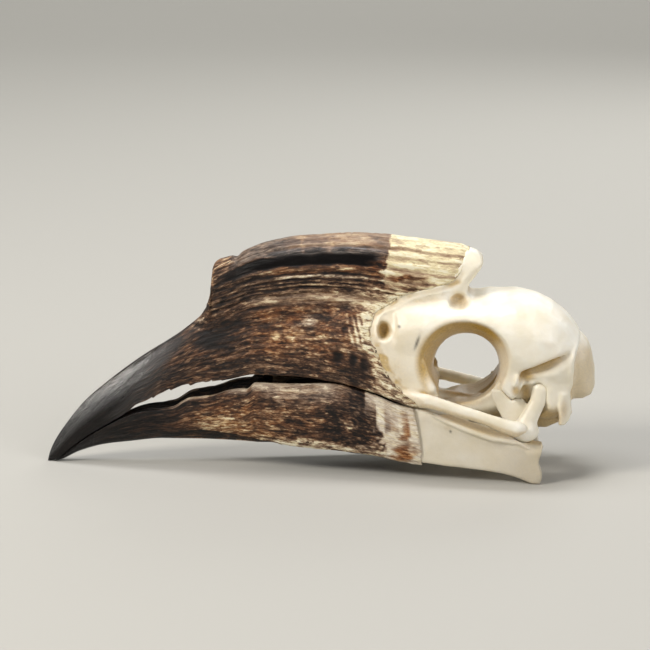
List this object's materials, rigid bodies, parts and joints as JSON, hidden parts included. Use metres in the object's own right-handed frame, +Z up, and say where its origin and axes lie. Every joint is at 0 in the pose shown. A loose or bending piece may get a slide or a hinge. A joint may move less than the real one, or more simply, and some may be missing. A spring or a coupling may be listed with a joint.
{
  "type": "trumpeter hornbill skull",
  "caption": "Dried hornbill skull with dark, downcurved horn-sheathed bills, a long blunt casque, and a pale round brain case with through orbits.",
  "frame": {"origin": "on the table, under the middle of the skull's length and width", "axes": "+X towards the back of the head (the bill points to -X), +Y to the bird's right, +Z up"},
  "size_m": [0.1642, 0.0481, 0.0707],
  "materials": {
    "bone": "cleaned dry bone, satin, ivory with tan hollows",
    "upper_horn": "weathered horn, streaked dark brown, rust and cream; polished slate-black tip",
    "jaw_bone": "cleaned dry bone, satin, warm ivory with faint grey clouds",
    "lower_horn": "weathered horn, rust-orange streaks and a whitish rear margin",
    "small_bone": "cleaned dry bone, satin, slightly yellowed"
  },
  "bodies": {
    "root": {"skull": "bone", "upper_bill_sheath": "upper_horn", "lower_jaw": "jaw_bone", "lower_bill_sheath": "lower_horn", "left_quadrate": "small_bone", "right_quadrate": "small_bone", "left_pterygoid": "small_bone", "right_pterygoid": "small_bone"}
  },
  "joints": []
}
